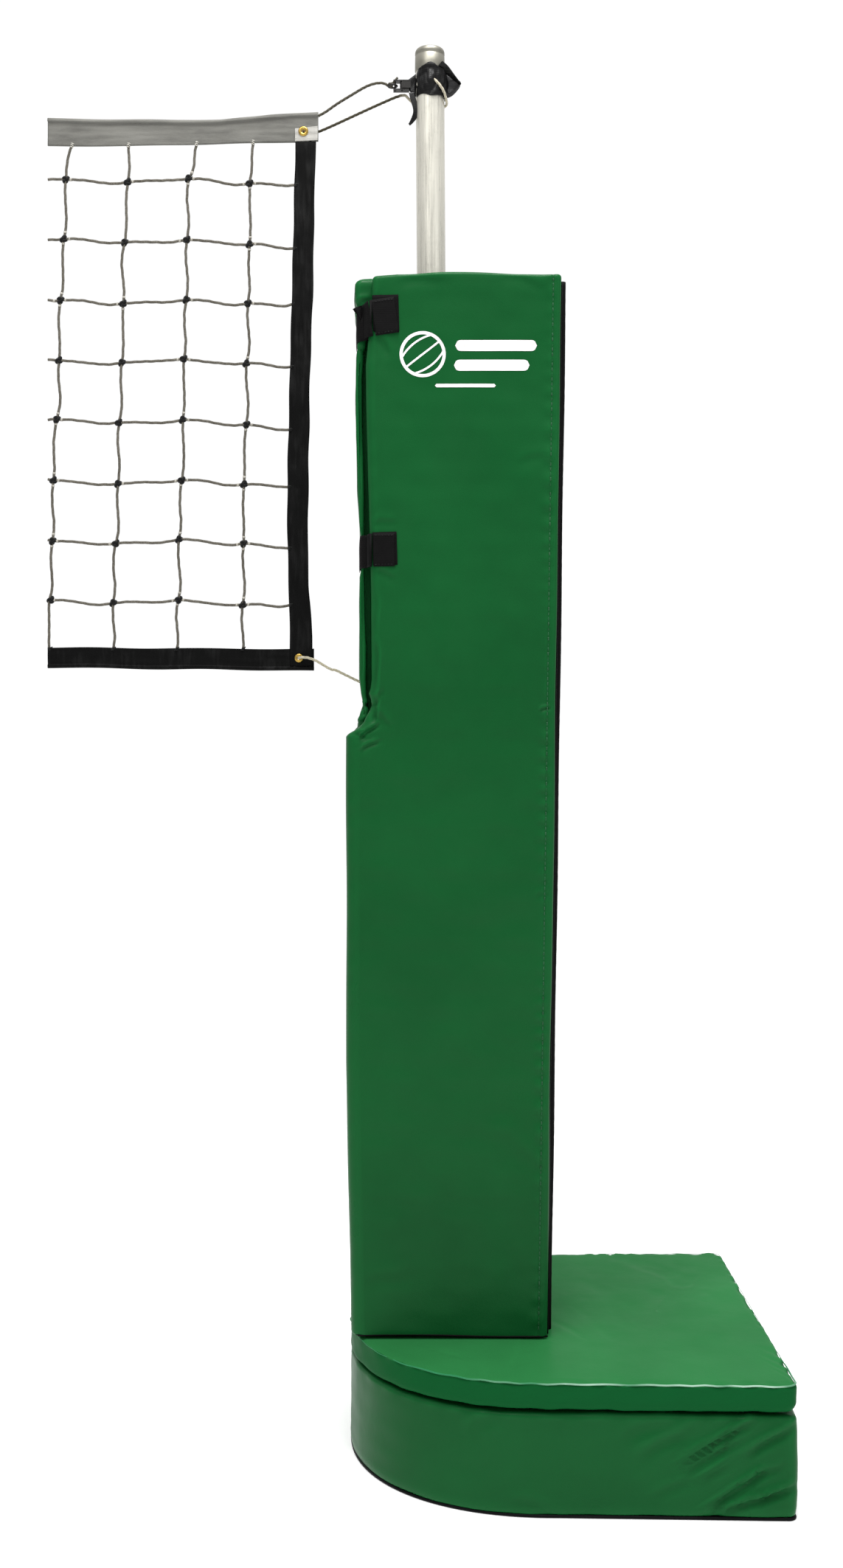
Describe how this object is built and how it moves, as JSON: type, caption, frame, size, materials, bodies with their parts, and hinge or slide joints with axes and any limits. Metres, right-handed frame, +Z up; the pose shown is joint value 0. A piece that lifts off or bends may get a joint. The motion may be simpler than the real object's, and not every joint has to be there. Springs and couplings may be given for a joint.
{
  "type": "volleyball net standard",
  "caption": "Padded volleyball standard on a weighted base, with a sliding mast, strap-tied cords and the end stretch of its net.",
  "frame": {"origin": "where the mast axis meets the floor", "axes": "+Z up along the mast, +X away from the net, -Y towards the pad's front face"},
  "size_m": [1.2742, 0.69, 2.5],
  "materials": {
    "pad_vinyl": "glossy vinyl-coated cloth over foam",
    "black_vinyl": "matt black vinyl backing and welt",
    "webbing": "woven polyester webbing",
    "hook_loop": "brushed hook-and-loop pile",
    "mast_metal": "drawn satin tube with fine vertical streaks",
    "zinc": "zinc-plated steel",
    "base_steel": "black powder coat",
    "sleeve_paint": "black powder coat",
    "nylon": "natural nylon",
    "hub_plastic": "moulded grey plastic",
    "tyre_rubber": "moulded rubber",
    "grip_plastic": "moulded black plastic",
    "tape_cloth": "pale coated canvas",
    "black_tape": "black coated canvas with a soft gloss",
    "twine": "twisted nylon twine",
    "knot_twine": "tarred black knots",
    "grey_cord": "braided grey-brown cord",
    "cream_cord": "braided cream cord",
    "brass": "polished brass"
  },
  "bodies": {
    "root": {"base_plate": "base_steel", "ballast_lower": "base_steel", "ballast_upper": "base_steel", "base_skirt": "base_steel", "deck_posts": "base_steel", "deck_plate": "base_steel", "base_hem": "black_vinyl", "base_side_pad": "pad_vinyl", "base_top_pad": "pad_vinyl", "mast_flange": "base_steel", "flange_bolts": "zinc", "gussets": "base_steel", "sleeve_tube": "sleeve_paint", "bush_lower": "nylon", "bush_upper": "nylon", "lock_collar": "zinc", "axle": "zinc", "axle_brackets": "base_steel", "axle_caps": "grip_plastic", "right_panel": "pad_vinyl", "back_panel": "pad_vinyl", "left_panel_lower": "pad_vinyl", "left_panel_upper": "pad_vinyl", "fold_welt": "black_vinyl", "fold_leaf": "black_vinyl", "loop_patches": "hook_loop"},
    "mast": {"mast_tube": "mast_metal", "mast_cap": "mast_metal", "top_strap": "webbing", "strap_tail": "webbing", "buckle_frame": "zinc", "buckle_pins": "zinc", "tie_ring": "zinc", "head_rope": "grey_cord", "top_cord": "grey_cord", "tie_cord": "grey_cord", "lower_cord": "cream_cord", "cord_knots": "grey_cord", "top_tape": "tape_cloth", "bottom_tape": "black_tape", "foot_rope": "cream_cord", "side_band": "black_tape", "net_rows": "twine", "net_columns": "twine", "net_knots": "knot_twine", "grommets": "brass"},
    "lever": {"cam_lever": "zinc"},
    "lock": {"lock_screw": "zinc", "lock_handle": "grip_plastic"},
    "door": {"front_panel": "pad_vinyl", "front_backing": "black_vinyl", "strap_upper_base": "hook_loop", "strap_lower_base": "hook_loop"},
    "strap_upper": {"strap_upper_tab": "hook_loop"},
    "strap_lower": {"strap_lower_tab": "hook_loop"},
    "wheel_front": {"hub_front": "hub_plastic", "tyre_front": "tyre_rubber"},
    "wheel_back": {"hub_back": "hub_plastic", "tyre_back": "tyre_rubber"}
  },
  "joints": [
    {"name": "mast_slide", "type": "slide", "parent": "root", "child": "mast", "axis": [0, 0, 1], "range_m": [-0.19, 0.06]},
    {"name": "lever_swing", "type": "hinge", "parent": "mast", "child": "lever", "pos_m": [-0.053, -0.002, 2.434], "axis": [0, 0, -1], "range_deg": [0, 80]},
    {"name": "lock_turn", "type": "hinge", "parent": "root", "child": "lock", "pos_m": [0.05, 0, 1.868], "axis": [1, 0, 0], "range_deg": [-360, 0]},
    {"name": "door_swing", "type": "hinge", "parent": "root", "child": "door", "pos_m": [0.2, -0.088, 0.228], "axis": [0.0142, 0, 0.9999], "range_deg": [0, 100]},
    {"name": "strap_upper_peel", "type": "hinge", "parent": "door", "child": "strap_upper", "pos_m": [-0.1055, -0.1425, 1.975], "axis": [0, 0, 1], "range_deg": [0, 120]},
    {"name": "strap_lower_peel", "type": "hinge", "parent": "door", "child": "strap_lower", "pos_m": [-0.1055, -0.1425, 1.5785], "axis": [0, 0, 1], "range_deg": [0, 120]},
    {"name": "wheel_front_spin", "type": "hinge", "parent": "root", "child": "wheel_front", "pos_m": [0.478, -0.246, 0.06], "axis": [0, 1, 0], "continuous": true},
    {"name": "wheel_back_spin", "type": "hinge", "parent": "root", "child": "wheel_back", "pos_m": [0.478, 0.246, 0.06], "axis": [0, 1, 0], "continuous": true}
  ]
}
